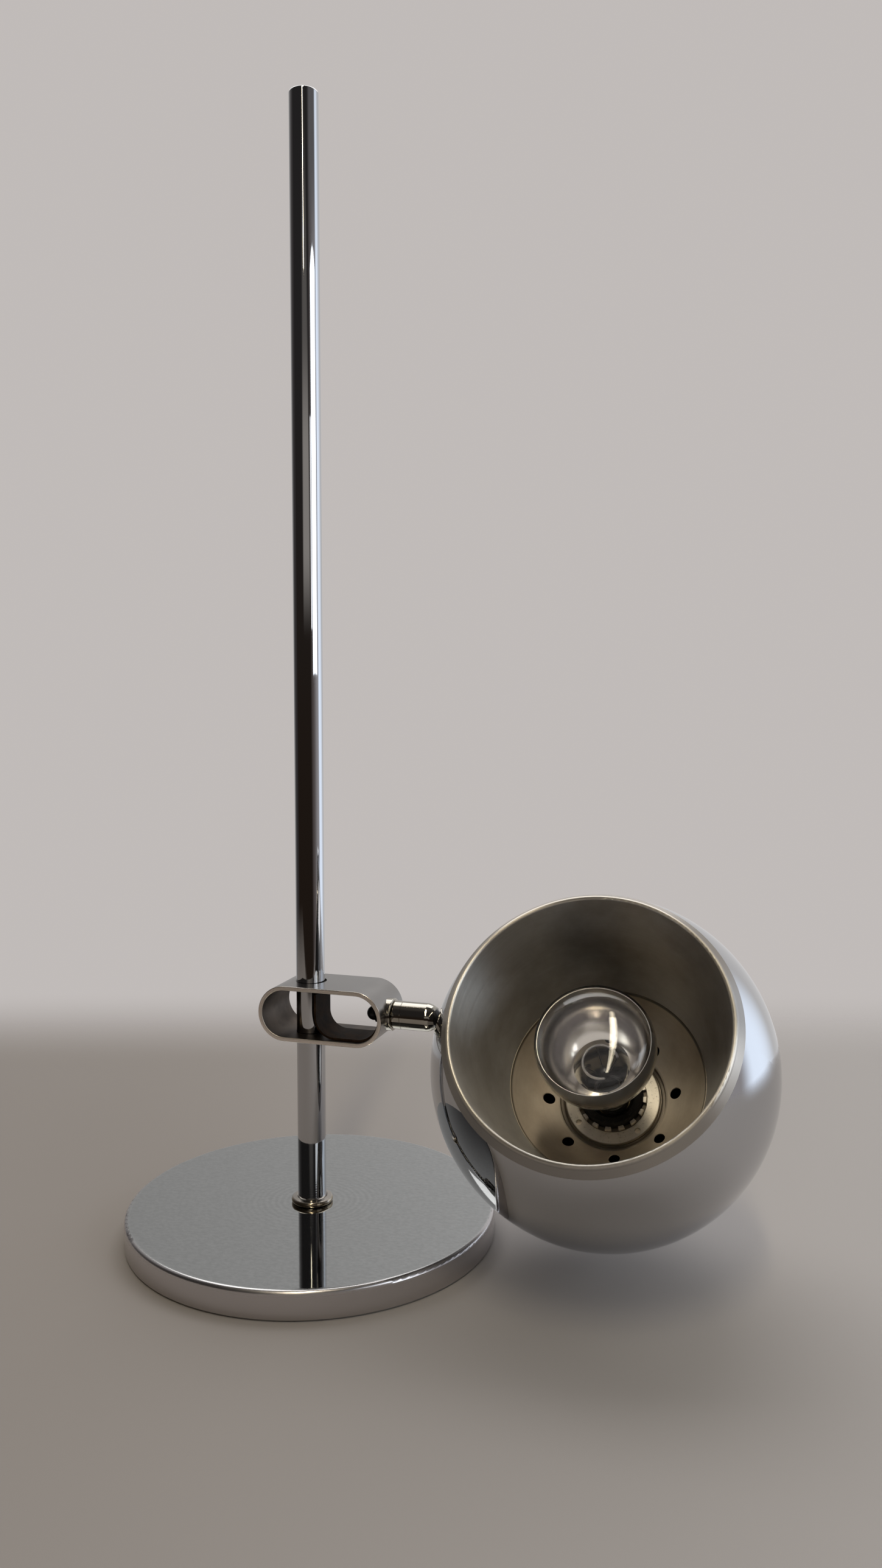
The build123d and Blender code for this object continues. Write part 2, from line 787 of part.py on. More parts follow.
def bulb_contact():
    """Solder button at the tip, a shallow dome."""
    rim_radius = 2.4
    dome_height = 1.4
    dome_radius = (rim_radius**2 + dome_height**2) / (2 * dome_height)
    button = Pos(0, 0, dome_radius) * Sphere(dome_radius) & tube(rim_radius, 0, 0, dome_height)
    return bulb_place * (button + tube(rim_radius, 0, dome_height, dome_height + 0.35))


def bulb_stem():
    """Pressed glass stem that carries the wires, with a small button on top."""
    return bulb_place * turned_points(
        (0, 23.0), (5.2, 23.0), (5.2, 24.0), (2.6, 30.0), (1.7, 44.0), (2.3, 46.0), (1.2, 47.6), (0, 47.8)
    )


def filament_wires():
    """Lead wires and support hooks that rise from the stem to the filament."""
    wires = []
    for turn in (20, 110, 200, 290):
        lean = Location((2.75, 0, 45.2), (0, 22, 0))
        wire = lean * Cylinder(0.3, 11.6, align=(Align.CENTER, Align.CENTER, Align.MIN))
        wires.append(Rot(0, 0, turn) * wire)
    return bulb_place * Compound(wires)


def filament():
    """Open horseshoe of coiled wire, shown by its outer size."""
    loop_radius = 7.4
    path = Rot(0, 0, 20) * CenterArc((0, 0, 56.6), loop_radius, 0, 270)
    section = Plane(path @ 0, z_dir=path % 0) * Circle(0.55)
    return bulb_place * sweep(section, path)


makers = {
    "base_cover": base_cover,
    "base_weight": base_weight,
    "base_pad": base_pad,
    "foot_collar": foot_collar,
    "foot_washer": foot_washer,
    "foot_nut": foot_nut,
    "post": post,
    "post_cap": post_cap,
    "foot_plug": foot_plug,
    "foot_stud": foot_stud,
    "slider_loop": slider_loop,
    "brake_spring": brake_spring,
    "nut_saddle": nut_saddle,
    "arm_nut": arm_nut,
    "arm_bolt": arm_bolt,
    "arm_washer": arm_washer,
    "arm_hub": arm_hub,
    "arm_sleeve": arm_sleeve,
    "seat_spring": seat_spring,
    "ball_seat": ball_seat,
    "swivel_ball": swivel_ball,
    "swivel_washer": swivel_washer,
    "swivel_nut": swivel_nut,
    "shade_shell": shade_shell,
    "inner_reflector": inner_reflector,
    "reflector_dish": reflector_dish,
    "shade_ring": shade_ring,
    "lampholder_body": lampholder_body,
    "lampholder_cap": lampholder_cap,
    "terminal_block": terminal_block,
    "terminal_screws": terminal_screws,
    "screw_shell": screw_shell,
    "centre_contact": centre_contact,
    "nipple": nipple,
    "nipple_nut": nipple_nut,
    "cord_bushing": cord_bushing,
    "bulb_glass": bulb_glass_shell,
    "bulb_mirror": bulb_mirror,
    "bulb_cap": bulb_cap,
    "bulb_insulator": bulb_insulator,
    "bulb_contact": bulb_contact,
    "bulb_stem": bulb_stem,
    "filament_wires": filament_wires,
    "filament": filament,
}

os.makedirs("parts", exist_ok=True)
for node, maker in makers.items():
    save(node, maker())
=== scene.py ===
import math

import bpy
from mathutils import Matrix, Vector

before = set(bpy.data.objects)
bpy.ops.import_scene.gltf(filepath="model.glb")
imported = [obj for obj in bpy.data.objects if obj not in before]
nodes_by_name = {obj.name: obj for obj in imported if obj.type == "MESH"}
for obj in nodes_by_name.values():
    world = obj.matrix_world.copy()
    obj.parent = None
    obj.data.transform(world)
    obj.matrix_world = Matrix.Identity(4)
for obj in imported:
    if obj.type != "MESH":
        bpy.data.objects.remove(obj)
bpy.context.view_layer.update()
scene = bpy.context.scene

# Directions in the row frame: towards the wall behind the lamp, and to the right along it.
AWAY = Vector((-0.304, 0.953, 0.0))
RIGHT = Vector((0.953, 0.304, 0.0))

# All lengths are in metres. The post's axis runs up from its foot.
POST_FOOT = (0.0, 0.0, 0.0)
UP = (0.0, 0.0, 1.0)
# The ball shade's centre, and the direction that its mouth faces.
SHADE_CENTRE = Vector((0.134256, 0.0, 0.087606))
MOUTH_DIRECTION = Vector((0.0, -0.7771, 0.6293))
# The middle of the slider's loop, half the length of its straight runs, and half its height where it is
# taken half through the thickness of its strip.
LOOP_MIDDLE = (0.0101, 0.0, 0.1033)
LOOP_HALF_RUN = 0.0170
LOOP_REACH = 0.0115
# Where the bulb's round part has its middle along the shade's axis.
BULB_MIDDLE = 0.0236
# The radius half through the bulb's silvering, and half the depth in which its inside turns to outside.
SILVER_REACH = 0.023955
SILVER_TURN = 0.00004

# What the camera sees of the room is one even backdrop. The floor reaches past where it fades into that.
WALL_COLOUR = (0.530, 0.498, 0.484)
FLOOR_RADIUS = 2.6

# The camera's place and direction, and its lens by the size of the photo.
CAMERA_PLACE = Vector((0.2167, -0.4839, 0.2431))
CAMERA_AHEAD = Vector((-0.3030, 0.9504, -0.0710))
FOCAL_LENGTH_PIXELS = 1924.0
IMAGE_HEIGHT_PIXELS = 2576.0
SENSOR_MILLIMETRES = 36.0


class Graph:
    """Short names for building a node tree, for a material or the world."""

    def __init__(self, tree):
        self.tree = tree

    def node(self, kind, **settings):
        made = self.tree.nodes.new(kind)
        for key, value in settings.items():
            setattr(made, key, value)
        return made

    def set(self, socket, value):
        if isinstance(value, bpy.types.NodeSocket):
            self.tree.links.new(value, socket)
        elif socket.type == "RGBA" and len(value) == 3:
            socket.default_value = (*value, 1.0)
        else:
            socket.default_value = value

    def maths(self, operation, *values):
        made = self.node("ShaderNodeMath", operation=operation)
        for place, value in enumerate(values):
            self.set(made.inputs[place], value)
        return made.outputs[0]

    def plus(self, first, second):
        return self.maths("ADD", first, second)

    def minus(self, first, second):
        return self.maths("SUBTRACT", first, second)

    def times(self, first, second):
        return self.maths("MULTIPLY", first, second)

    def greater(self, first, second):
        return self.maths("MAXIMUM", first, second)

    def line(self, value, slope, start):
        """The value times the slope, plus the start."""
        return self.maths("MULTIPLY_ADD", value, slope, start)

    def diagonal(self, first, second):
        """The length of a rectangle's diagonal, by its two sides."""
        squares = [self.maths("POWER", self.maths("ABSOLUTE", side), 2.0) for side in (first, second)]
        return self.maths("POWER", self.plus(*squares), 0.5)

    def vector(self, operation, first, second=(0.0, 0.0, 0.0), result=0):
        made = self.node("ShaderNodeVectorMath", operation=operation)
        self.set(made.inputs[0], first)
        self.set(made.inputs[1], second)
        return made.outputs[result]

    def dot(self, first, second):
        return self.vector("DOT_PRODUCT", first, tuple(second), result=1)

    def length(self, vector):
        return self.vector("LENGTH", vector, result=1)

    def stretched(self, coords, scale):
        return self.vector("MULTIPLY", coords, scale)

    def parts(self, vector):
        """The x, y and z of a vector."""
        made = self.node("ShaderNodeSeparateXYZ")
        self.set(made.inputs[0], vector)
        return made.outputs

    def step(self, value, low, high, start=0.0, end=1.0):
        """A smooth change from start to end as the value goes from low to high."""
        made = self.node("ShaderNodeMapRange", interpolation_type="SMOOTHSTEP")
        for place, given in enumerate((value, low, high, start, end)):
            self.set(made.inputs[place], given)
        return made.outputs[0]

    def fall(self, value, low, high):
        return self.step(value, low, high, 1.0, 0.0)

    def mix(self, factor, first, second, blend="MIX"):
        made = self.node("ShaderNodeMix", data_type="RGBA", blend_type=blend)
        self.set(made.inputs[0], factor)
        self.set(made.inputs[6], first)
        self.set(made.inputs[7], second)
        return made.outputs[2]

    def noise(self, coords, scale, detail, roughness):
        made = self.node("ShaderNodeTexNoise")
        self.set(made.inputs["Vector"], coords)
        made.inputs["Scale"].default_value = scale
        made.inputs["Detail"].default_value = detail
        made.inputs["Roughness"].default_value = roughness
        return made.outputs[0]

    def bump(self, height, strength, distance, under=None):
        made = self.node("ShaderNodeBump")
        made.inputs["Strength"].default_value = strength
        made.inputs["Distance"].default_value = distance
        self.set(made.inputs["Height"], height)
        if under is not None:
            self.set(made.inputs["Normal"], under)
        return made.outputs[0]


class Finish(Graph):
    """A node material with one Principled shader, placed by the object's own rest coordinates."""

    def __init__(self, name, **sockets):
        self.material = bpy.data.materials.new(name)
        self.material.use_nodes = True
        super().__init__(self.material.node_tree)
        self.shader = self.tree.nodes["Principled BSDF"]
        self.coords = self.node("ShaderNodeTexCoord").outputs["Object"]
        for key, value in sockets.items():
            self.give(key.replace("_", " "), value)

    def give(self, socket, value):
        self.set(self.shader.inputs[socket], value)

    def cloud(self, scale, detail, roughness):
        """Noise all through the piece."""
        return self.noise(self.coords, scale, detail, roughness)

    def place_on_axis(self, centre, axis):
        """Find the distance along an axis and out from it, and the arm from the axis to the point."""
        offset = self.vector("SUBTRACT", self.coords, tuple(centre))
        self.along = self.dot(offset, axis)
        on_axis = self.node("ShaderNodeVectorMath", operation="SCALE")
        on_axis.inputs[0].default_value = tuple(axis)
        self.set(on_axis.inputs["Scale"], self.along)
        self.arm = self.vector("SUBTRACT", offset, on_axis.outputs[0])
        self.out = self.length(self.arm)

    def turned_lines(self, axis, strength):
        """Fine lines round an axis stretch each highlight across them, towards and away from the axis."""
        round_way = self.vector("CROSS_PRODUCT", tuple(axis), self.arm)
        normal = self.node("ShaderNodeTexCoord").outputs["Normal"]
        across = self.node("ShaderNodeVectorTransform", vector_type="VECTOR")
        across.convert_from = "OBJECT"
        across.convert_to = "WORLD"
        self.set(across.inputs[0], self.vector("CROSS_PRODUCT", round_way, normal))
        self.give("Anisotropic", strength)
        self.give("Tangent", across.outputs[0])


def wear_on_chrome(finish, least_roughness, smudge, scratch_scale=(900.0, 900.0, 60.0)):
    """The roughness and normal of polished plate with wiped smudges and hair-fine scratches."""
    patches = finish.step(finish.cloud(22.0, 4.0, 0.6), 0.52, 0.72)
    prints = finish.times(finish.step(finish.cloud(260.0, 2.0, 0.5), 0.5, 0.75), patches)
    rough = finish.line(patches, smudge * 0.5, least_roughness)
    rough = finish.line(prints, smudge, rough)
    hairs = finish.noise(finish.stretched(finish.coords, scratch_scale), 1.0, 2.0, 0.6)
    return rough, finish.bump(hairs, 0.05, 0.000012)


def chrome(name, roughness, smudge, colour=(0.52, 0.52, 0.53)):
    finish = Finish(name, Base_Color=colour, Metallic=1.0)
    rough, normal = wear_on_chrome(finish, roughness, smudge)
    finish.give("Roughness", rough)
    finish.give("Normal", normal)
    return finish.material


def chrome_disc():
    """The base: buffed in rings round the post and a little uneven, which shows in what it mirrors. Its side
    wall is painted lighter than its face, as painted light.
    """
    finish = Finish("chrome base", Metallic=1.0)
    rough, hairs = wear_on_chrome(finish, 0.035, 0.05, (700.0, 700.0, 700.0))
    finish.place_on_axis(POST_FOOT, UP)
    # The buffing rings wander a little, and fade away from the post.
    path = finish.line(finish.cloud(30.0, 2.0, 0.5), 0.004, finish.out)
    rings = finish.maths("SINE", finish.times(path, 2300.0))
    rings = finish.times(rings, finish.step(finish.out, 0.010, 0.046, 1.0, 0.12))
    mottle = finish.noise(finish.stretched(finish.coords, (1.0, 1.6, 1.0)), 420.0, 4.0, 0.75)
    shade = finish.line(rings, 0.10, mottle)
    face = finish.mix(finish.step(shade, 0.25, 0.75), (0.375, 0.385, 0.38), (0.455, 0.465, 0.46))
    # Painted light: the side wall gets a lighter colour than the face, so that it mirrors brighter.
    side = finish.step(finish.out, 0.0822, 0.0836)
    finish.give("Base Color", finish.mix(side, face, (0.60, 0.575, 0.575)))
    level = finish.times(mottle, finish.fall(finish.out, 0.0800, 0.0822))
    normal = finish.bump(rings, 0.25, 0.00001, hairs)
    finish.give("Normal", finish.bump(level, 0.12, 0.00002, normal))
    rim = finish.times(finish.step(finish.out, 0.0812, 0.0824), finish.step(finish.along, 0.0085, 0.0105))
    skirt = finish.step(finish.out, 0.0830, 0.0838)
    rough = finish.line(rim, 0.18, rough)
    finish.give("Roughness", finish.line(skirt, 0.06, rough))
    return finish.material


def worn_collar():
    """Plate worn through to warm brass on the ring's crest, and near-black along its foot where it sits on
    the base.
    """
    finish = Finish("collar plate", Metallic=1.0)
    finish.place_on_axis(POST_FOOT, UP)
    cloud = finish.cloud(420.0, 4.0, 0.6)
    crest = finish.step(finish.out, 0.0086, 0.0095)
    worn = finish.times(crest, finish.step(cloud, 0.32, 0.55))
    colour = finish.mix(worn, (0.40, 0.37, 0.33), (0.34, 0.27, 0.18))
    # Near-black along the collar's foot, where it meets the base.
    corner = finish.fall(finish.line(cloud, 0.0006, finish.along), 0.0128, 0.0134)
    finish.give("Base Color", finish.mix(corner, colour, (0.05, 0.035, 0.025)))
    finish.give("Roughness", finish.line(cloud, 0.22, 0.08))
    finish.give("Normal", finish.bump(cloud, 0.15, 0.0001))
    return finish.material


def inside_the_loop(finish):
    """One on the inside of the slider's loop and nought on its outside."""
    offset = finish.parts(finish.vector("SUBTRACT", finish.coords, LOOP_MIDDLE))
    past_run = finish.minus(finish.maths("ABSOLUTE", offset[0]), LOOP_HALF_RUN)
    away = finish.diagonal(finish.greater(past_run, 0.0), offset[2])
    return finish.fall(away, LOOP_REACH - 0.0004, LOOP_REACH + 0.0001)


def satin_plate():
    """The slider's bead-blasted plate: soft with a fine grain, painted dark and brown inside as shade and
    reflection, mottled, and bare where it is cut.
    """
    finish = Finish("satin chrome", Metallic=1.0)
    cloud = finish.cloud(60.0, 4.0, 0.6)
    tone = finish.mix(cloud, (0.265, 0.25, 0.235), (0.33, 0.32, 0.31))
    inside = inside_the_loop(finish)
    # Painted shade and brown reflection: the inside of the loop is much darker and browner, mottled.
    painted_shade_inside = finish.mix(finish.step(cloud, 0.35, 0.65), (0.030, 0.021, 0.015), (0.078, 0.060, 0.046))
    tone = finish.mix(inside, tone, painted_shade_inside)
    from_middle = finish.maths("ABSOLUTE", finish.parts(finish.coords)[1])
    cut = finish.step(from_middle, 0.0142, 0.01445)
    finish.give("Base Color", finish.mix(cut, tone, (0.90, 0.82, 0.74)))
    rough = finish.line(cloud, 0.14, 0.17)
    finish.give("Roughness", finish.line(inside, 0.20, rough))
    finish.give("Normal", finish.bump(finish.cloud(2600.0, 2.0, 0.6), 0.2, 0.00002))
    return finish.material


def brown_spring():
    """Heat-browned spring strip with a dry, mottled surface and grey rubbed places."""
    finish = Finish("browned spring", Specular_IOR_Level=0.03)
    cloud = finish.cloud(150.0, 5.0, 0.65)
    specks = finish.cloud(1500.0, 2.0, 0.5)
    tone = finish.mix(finish.step(cloud, 0.35, 0.7), (0.016, 0.009, 0.005), (0.050, 0.031, 0.020))
    tone = finish.mix(finish.step(specks, 0.62, 0.75), tone, (0.045, 0.03, 0.022))
    finish.give("Base Color", tone)
    finish.give("Roughness", finish.line(cloud, 0.25, 0.42))
    finish.give("Normal", finish.bump(specks, 0.25, 0.00004))
    return finish.material


def black_steel():
    """Blacked steel, rubbed grey in places."""
    finish = Finish("black steel", Metallic=0.6)
    cloud = finish.cloud(300.0, 4.0, 0.6)
    tone = finish.mix(finish.step(cloud, 0.45, 0.75), (0.018, 0.018, 0.02), (0.075, 0.07, 0.065))
    finish.give("Base Color", tone)
    finish.give("Roughness", finish.line(cloud, 0.3, 0.22))
    finish.give("Normal", finish.bump(cloud, 0.1, 0.0001))
    return finish.material


def spun_metal(name, light, dark, roughness, lines, brushed=0.96):
    """Spun sheet: fine and broad turned lines round the shade's axis, and cloudy stains."""
    finish = Finish(name, Metallic=1.0)
    finish.place_on_axis(SHADE_CENTRE, MOUTH_DIRECTION)
    finish.turned_lines(MOUTH_DIRECTION, brushed)
    path = finish.plus(finish.along, finish.times(finish.out, 0.7))
    line = finish.node("ShaderNodeCombineXYZ")
    finish.set(line.inputs[0], finish.times(path, lines))
    turned = finish.noise(line.outputs[0], 1.0, 3.0, 0.7)
    broad = finish.noise(finish.stretched(line.outputs[0], (0.17, 1.0, 1.0)), 1.0, 2.0, 0.6)
    finish.stains = finish.cloud(34.0, 5.0, 0.6)
    tone = finish.mix(finish.step(finish.stains, 0.3, 0.75), light, dark)
    worn = finish.mix(finish.step(turned, 0.35, 0.7), (0.92, 0.92, 0.92), (1.0, 1.0, 1.0))
    tone = finish.mix(1.0, tone, worn, "MULTIPLY")
    tone = finish.mix(finish.step(broad, 0.38, 0.62, 0.16, 0.0), tone, dark)
    rough = finish.line(turned, 0.10, roughness - 0.11)
    rough = finish.line(broad, 0.12, rough)
    finish.give("Roughness", finish.line(finish.stains, 0.04, rough))
    normal = finish.bump(turned, 0.12, 0.00006)
    finish.give("Normal", finish.bump(finish.cloud(1700.0, 2.0, 0.5), 0.08, 0.00002, normal))
    return finish, tone


def satin_liner():
    """The liner's satin bowl, with a painted cream highlight along the crest of its rolled lip and painted
    shade on its shoulder.
    """
    finish, tone = spun_metal("satin liner", (0.72, 0.71, 0.69), (0.50, 0.48, 0.455), 0.32, 2600.0)
    # Painted highlight: a cream line along the crest of the rolled lip.
    crest = finish.step(finish.along, 0.0464, 0.0472)
    tone = finish.mix(crest, tone, (0.80, 0.75, 0.665))
    # Painted shade: the lip's turned-over shoulder is darker.
    painted_shade_shoulder = finish.step(finish.out, 0.0568, 0.0575)
    finish.give("Base Color", finish.mix(painted_shade_shoulder, tone, (0.41, 0.385, 0.36)))
    return finish.material


def satin_dish():
    """The dish: warmer metal, with painted gap shadow and dust in the corner round the ring, and darker along
    its edge.
    """
    finish, tone = spun_metal("satin dish", (0.84, 0.75, 0.62), (0.60, 0.51, 0.40), 0.38, 3200.0)
    ragged = finish.plus(finish.out, finish.line(finish.stains, 0.002, -0.001))
    # Painted gap shadow with dust in the corner round the ring, and darker along the outer edge where the
    # dish meets the liner.
    corner = finish.times(finish.step(ragged, 0.0205, 0.0215), finish.fall(ragged, 0.0225, 0.0245))
    edge = finish.step(finish.out, 0.0414, 0.0418)
    shade_and_dust = finish.greater(finish.times(corner, 0.85), finish.times(edge, 0.75))
    finish.give("Base Color", finish.mix(shade_and_dust, tone, (0.06, 0.05, 0.04)))
    return finish.material


def lug_ring():
    """The screw ring, with painted gap shadow and dirt along its outer edge, painted shade in the grooves
    beside its lugs, and dirty spots.
    """
    light = (0.66, 0.62, 0.54)
    dark = (0.46, 0.41, 0.335)
    finish, tone = spun_metal("lug ring", light, dark, 0.34, 3000.0, brushed=0.5)
    # Painted gap shadow with dirt along the outer edge, and painted shade in the grooves beside the lugs; the
    # spots are dirt.
    edge = finish.step(finish.out, 0.0203, 0.0209)
    slots = finish.times(finish.fall(finish.out, 0.0155, 0.0157), finish.fall(finish.along, -0.0334, -0.0330))
    spots = finish.step(finish.cloud(1100.0, 3.0, 0.6), 0.58, 0.70)
    shade_and_dust = finish.greater(finish.times(edge, 0.8), finish.times(spots, 0.5))
    shade_and_dust = finish.greater(shade_and_dust, finish.times(slots, 0.92))
    finish.give("Base Color", finish.mix(shade_and_dust, tone, (0.07, 0.055, 0.04)))
    return finish.material


def moulded(name, colour, roughness, specular=0.5):
    """Moulded plastic or glass: a faint sheen with patches of dust."""
    finish = Finish(name, Specular_IOR_Level=specular)
    cloud = finish.cloud(130.0, 4.0, 0.6)
    dust = finish.times(finish.step(finish.cloud(900.0, 3.0, 0.6), 0.56, 0.72), finish.step(cloud, 0.4, 0.7))
    finish.give("Base Color", finish.mix(finish.times(dust, 0.3), colour, (0.12, 0.105, 0.09)))
    finish.give("Roughness", finish.line(cloud, 0.2, roughness))
    finish.give("Normal", finish.bump(cloud, 0.05, 0.0001))
    return finish.material


def plain_metal(name, colour, dull, roughness):
    """Small plated or raw fittings: a speckled, slightly dulled metal."""
    finish = Finish(name, Metallic=1.0)
    cloud = finish.cloud(380.0, 4.0, 0.6)
    finish.give("Base Color", finish.mix(finish.step(cloud, 0.45, 0.8), colour, dull))
    finish.give("Roughness", finish.line(cloud, 0.2, roughness))
    finish.give("Normal", finish.bump(cloud, 0.1, 0.00008))
    return finish.material


def cast_iron():
    """Sand-cast iron, unpainted."""
    finish = Finish("cast iron", Metallic=0.7, Roughness=0.75)
    sand = finish.cloud(700.0, 4.0, 0.7)
    finish.give("Base Color", finish.mix(sand, (0.07, 0.07, 0.072), (0.21, 0.2, 0.195)))
    finish.give("Normal", finish.bump(sand, 0.6, 0.0004))
    return finish.material


def felt():
    """Dark green felt with its fibres lying one way."""
    finish = Finish("base felt", Roughness=0.95, Sheen_Weight=0.35)
    fibre = finish.noise(finish.stretched(finish.coords, (1.0, 2.2, 1.0)), 1300.0, 4.0, 0.75)
    finish.give("Base Color", finish.mix(fibre, (0.03, 0.04, 0.034), (0.11, 0.125, 0.11)))
    finish.give("Normal", finish.bump(fibre, 0.7, 0.0004))
    return finish.material


def porcelain():
    """Glazed porcelain, slightly uneven."""
    finish = Finish("porcelain", Roughness=0.45)
    cloud = finish.cloud(500.0, 4.0, 0.6)
    finish.give("Base Color", finish.mix(cloud, (0.74, 0.72, 0.65), (0.84, 0.82, 0.77)))
    finish.give("Normal", finish.bump(cloud, 0.1, 0.0001))
    return finish.material


def bulb_glass():
    """Thin blown glass, too thin to bend what is seen through it, tinted dark towards the neck."""
    finish = Finish("bulb glass", Roughness=0.0, IOR=1.04, Transmission_Weight=1.0)
    finish.give("Coat Weight", 1.0)
    finish.give("Coat IOR", 1.5)
    finish.give("Coat Roughness", 0.0)
    finish.place_on_axis(SHADE_CENTRE, MOUTH_DIRECTION)
    waves = finish.cloud(60.0, 2.0, 0.5)
    clear = finish.mix(waves, (0.93, 0.93, 0.92), (0.965, 0.965, 0.96))
    # The glass is tinted dark towards the neck.
    neck = finish.fall(finish.along, -0.002, 0.003)
    finish.give("Base Color", finish.mix(neck, clear, (0.16, 0.145, 0.13)))
    finish.give("Normal", finish.bump(waves, 0.01, 0.0002))
    return finish.material


def stem_glass():
    """Dark lead glass of the stem."""
    finish = Finish("stem glass", Roughness=0.05, IOR=1.5, Transmission_Weight=0.5)
    waves = finish.cloud(200.0, 2.0, 0.5)
    finish.give("Base Color", finish.mix(waves, (0.03, 0.028, 0.026), (0.07, 0.065, 0.06)))
    return finish.material


def bulb_silver():
    """Silvering inside the glass: satin from without; within, painted darker as shade, with painted cream
    highlights at its two edges.
    """
    finish = Finish("bulb silver", Metallic=1.0)
    finish.place_on_axis(SHADE_CENTRE, MOUTH_DIRECTION)
    reach = finish.diagonal(finish.minus(finish.along, BULB_MIDDLE), finish.out)
    outside = finish.step(reach, SILVER_REACH - SILVER_TURN, SILVER_REACH + SILVER_TURN)
    cloud = finish.cloud(90.0, 4.0, 0.6)
    # Painted shade: the silver within is darker.
    painted_shade_silver = finish.mix(cloud, (0.34, 0.32, 0.31), (0.50, 0.48, 0.465))
    neck_edge = finish.fall(finish.along, 0.0040, 0.0075)
    front_edge = finish.step(finish.along, 0.0160, 0.0220)
    # Painted highlights: the silver's neck and front edges are cream-bright.
    tone = finish.mix(finish.plus(neck_edge, front_edge), painted_shade_silver, (0.98, 0.94, 0.87))
    finish.give("Base Color", finish.mix(outside, tone, (0.52, 0.50, 0.48)))
    rough = finish.line(outside, 0.12, finish.line(cloud, 0.08, 0.12))
    finish.give("Roughness", finish.line(finish.step(finish.along, 0.0150, 0.0240), 0.16, rough))
    finish.give("Normal", finish.bump(cloud, 0.05, 0.0002))
    return finish.material


chrome_post = chrome("chrome post", 0.025, 0.04)
chrome_fittings = chrome("nickel fittings", 0.06, 0.09, (0.44, 0.415, 0.365))
zinc = plain_metal("zinc plate", (0.58, 0.58, 0.56), (0.40, 0.40, 0.37), 0.25)
brass = plain_metal("rolled brass", (0.70, 0.52, 0.24), (0.42, 0.29, 0.13), 0.22)
black = black_steel()
bakelite = moulded("bakelite", (0.010, 0.009, 0.0085), 0.45, specular=0.15)
spring = brown_spring()

LOOKS = {
    "base_cover": chrome_disc(),
    "base_weight": cast_iron(),
    "base_pad": felt(),
    "foot_collar": worn_collar(),
    "foot_washer": zinc,
    "foot_nut": zinc,
    "post": chrome_post,
    "post_cap": chrome_post,
    "foot_plug": zinc,
    "foot_stud": zinc,
    "slider_loop": satin_plate(),
    "brake_spring": spring,
    "nut_saddle": black,
    "arm_nut": black,
    "arm_bolt": zinc,
    "arm_washer": chrome_fittings,
    "arm_hub": chrome_fittings,
    "arm_sleeve": chrome_fittings,
    "seat_spring": spring,
    "ball_seat": moulded("acetal seat", (0.72, 0.70, 0.64), 0.35),
    "swivel_ball": black,
    "swivel_washer": zinc,
    "swivel_nut": zinc,
    "shade_shell": chrome("chrome ball", 0.02, 0.05),
    "inner_reflector": satin_liner(),
    "reflector_dish": satin_dish(),
    "shade_ring": lug_ring(),
    "lampholder_body": bakelite,
    "lampholder_cap": bakelite,
    "terminal_block": porcelain(),
    "terminal_screws": brass,
    # Painted shade: the screw shell deep in the holder is coloured near-black brass.
    "screw_shell": plain_metal("brass painted dark as shade", (0.20, 0.15, 0.08), (0.06, 0.045, 0.03), 0.4),
    "centre_contact": brass,
    "nipple": zinc,
    "nipple_nut": zinc,
    "cord_bushing": moulded("bushing plastic", (0.025, 0.025, 0.026), 0.4),
    "bulb_glass": bulb_glass(),
    "bulb_mirror": bulb_silver(),
    "bulb_cap": plain_metal("rolled cap", (0.50, 0.49, 0.46), (0.34, 0.32, 0.29), 0.30),
    "bulb_insulator": moulded("cap glass", (0.03, 0.025, 0.035), 0.12),
    "bulb_contact": plain_metal("solder", (0.56, 0.56, 0.55), (0.38, 0.38, 0.37), 0.35),
    "bulb_stem": stem_glass(),
    "filament_wires": plain_metal("lead wire", (0.16, 0.145, 0.13), (0.09, 0.08, 0.07), 0.35),
    "filament": plain_metal("tungsten", (0.32, 0.31, 0.31), (0.22, 0.21, 0.21), 0.45),
}
for name, material in LOOKS.items():
    nodes_by_name[name].material_slots[0].material = material


def floor():
    """A plain pale floor that fades into the backdrop away from the lamp.

    Polished metal sees it end sooner: at the wall behind the lamp, and at an edge before it.
    """
    bpy.ops.mesh.primitive_circle_add(
        vertices=96, radius=FLOOR_RADIUS, fill_type="NGON", location=(0.06, 0.0, 0.0)
    )
    ground = bpy.context.object
    ground.name = "floor"
    finish = Finish("pale floor", Roughness=0.85, Specular_IOR_Level=0.2)
    rightward = finish.dot(finish.coords, RIGHT)
    # Painted light: the floor's colour is lighter towards the window on the right.
    painted_window_light = finish.step(rightward, -0.20, 0.32)
    finish.give("Base Color", finish.mix(painted_window_light, (0.345, 0.315, 0.295), (0.49, 0.465, 0.455)))
    behind = finish.dot(finish.coords, AWAY)
    near = finish.fall(finish.length(finish.coords), 0.45, 0.95)
    fade = finish.minus(1.0, finish.times(near, finish.fall(behind, 0.26, 0.46)))
    past_edges = finish.plus(finish.step(behind, 0.30, 0.36), finish.step(behind, -0.36, -0.46))
    glossy = finish.node("ShaderNodeLightPath").outputs["Is Glossy Ray"]
    fade = finish.greater(fade, finish.times(past_edges, glossy))
    clear = finish.node("ShaderNodeBsdfTransparent")
    blend = finish.node("ShaderNodeMixShader")
    finish.set(blend.inputs[0], fade)
    finish.set(blend.inputs[1], finish.shader.outputs[0])
    finish.set(blend.inputs[2], clear.outputs[0])
    finish.set(finish.tree.nodes["Material Output"].inputs[0], blend.outputs[0])
    ground.data.materials.append(finish.material)


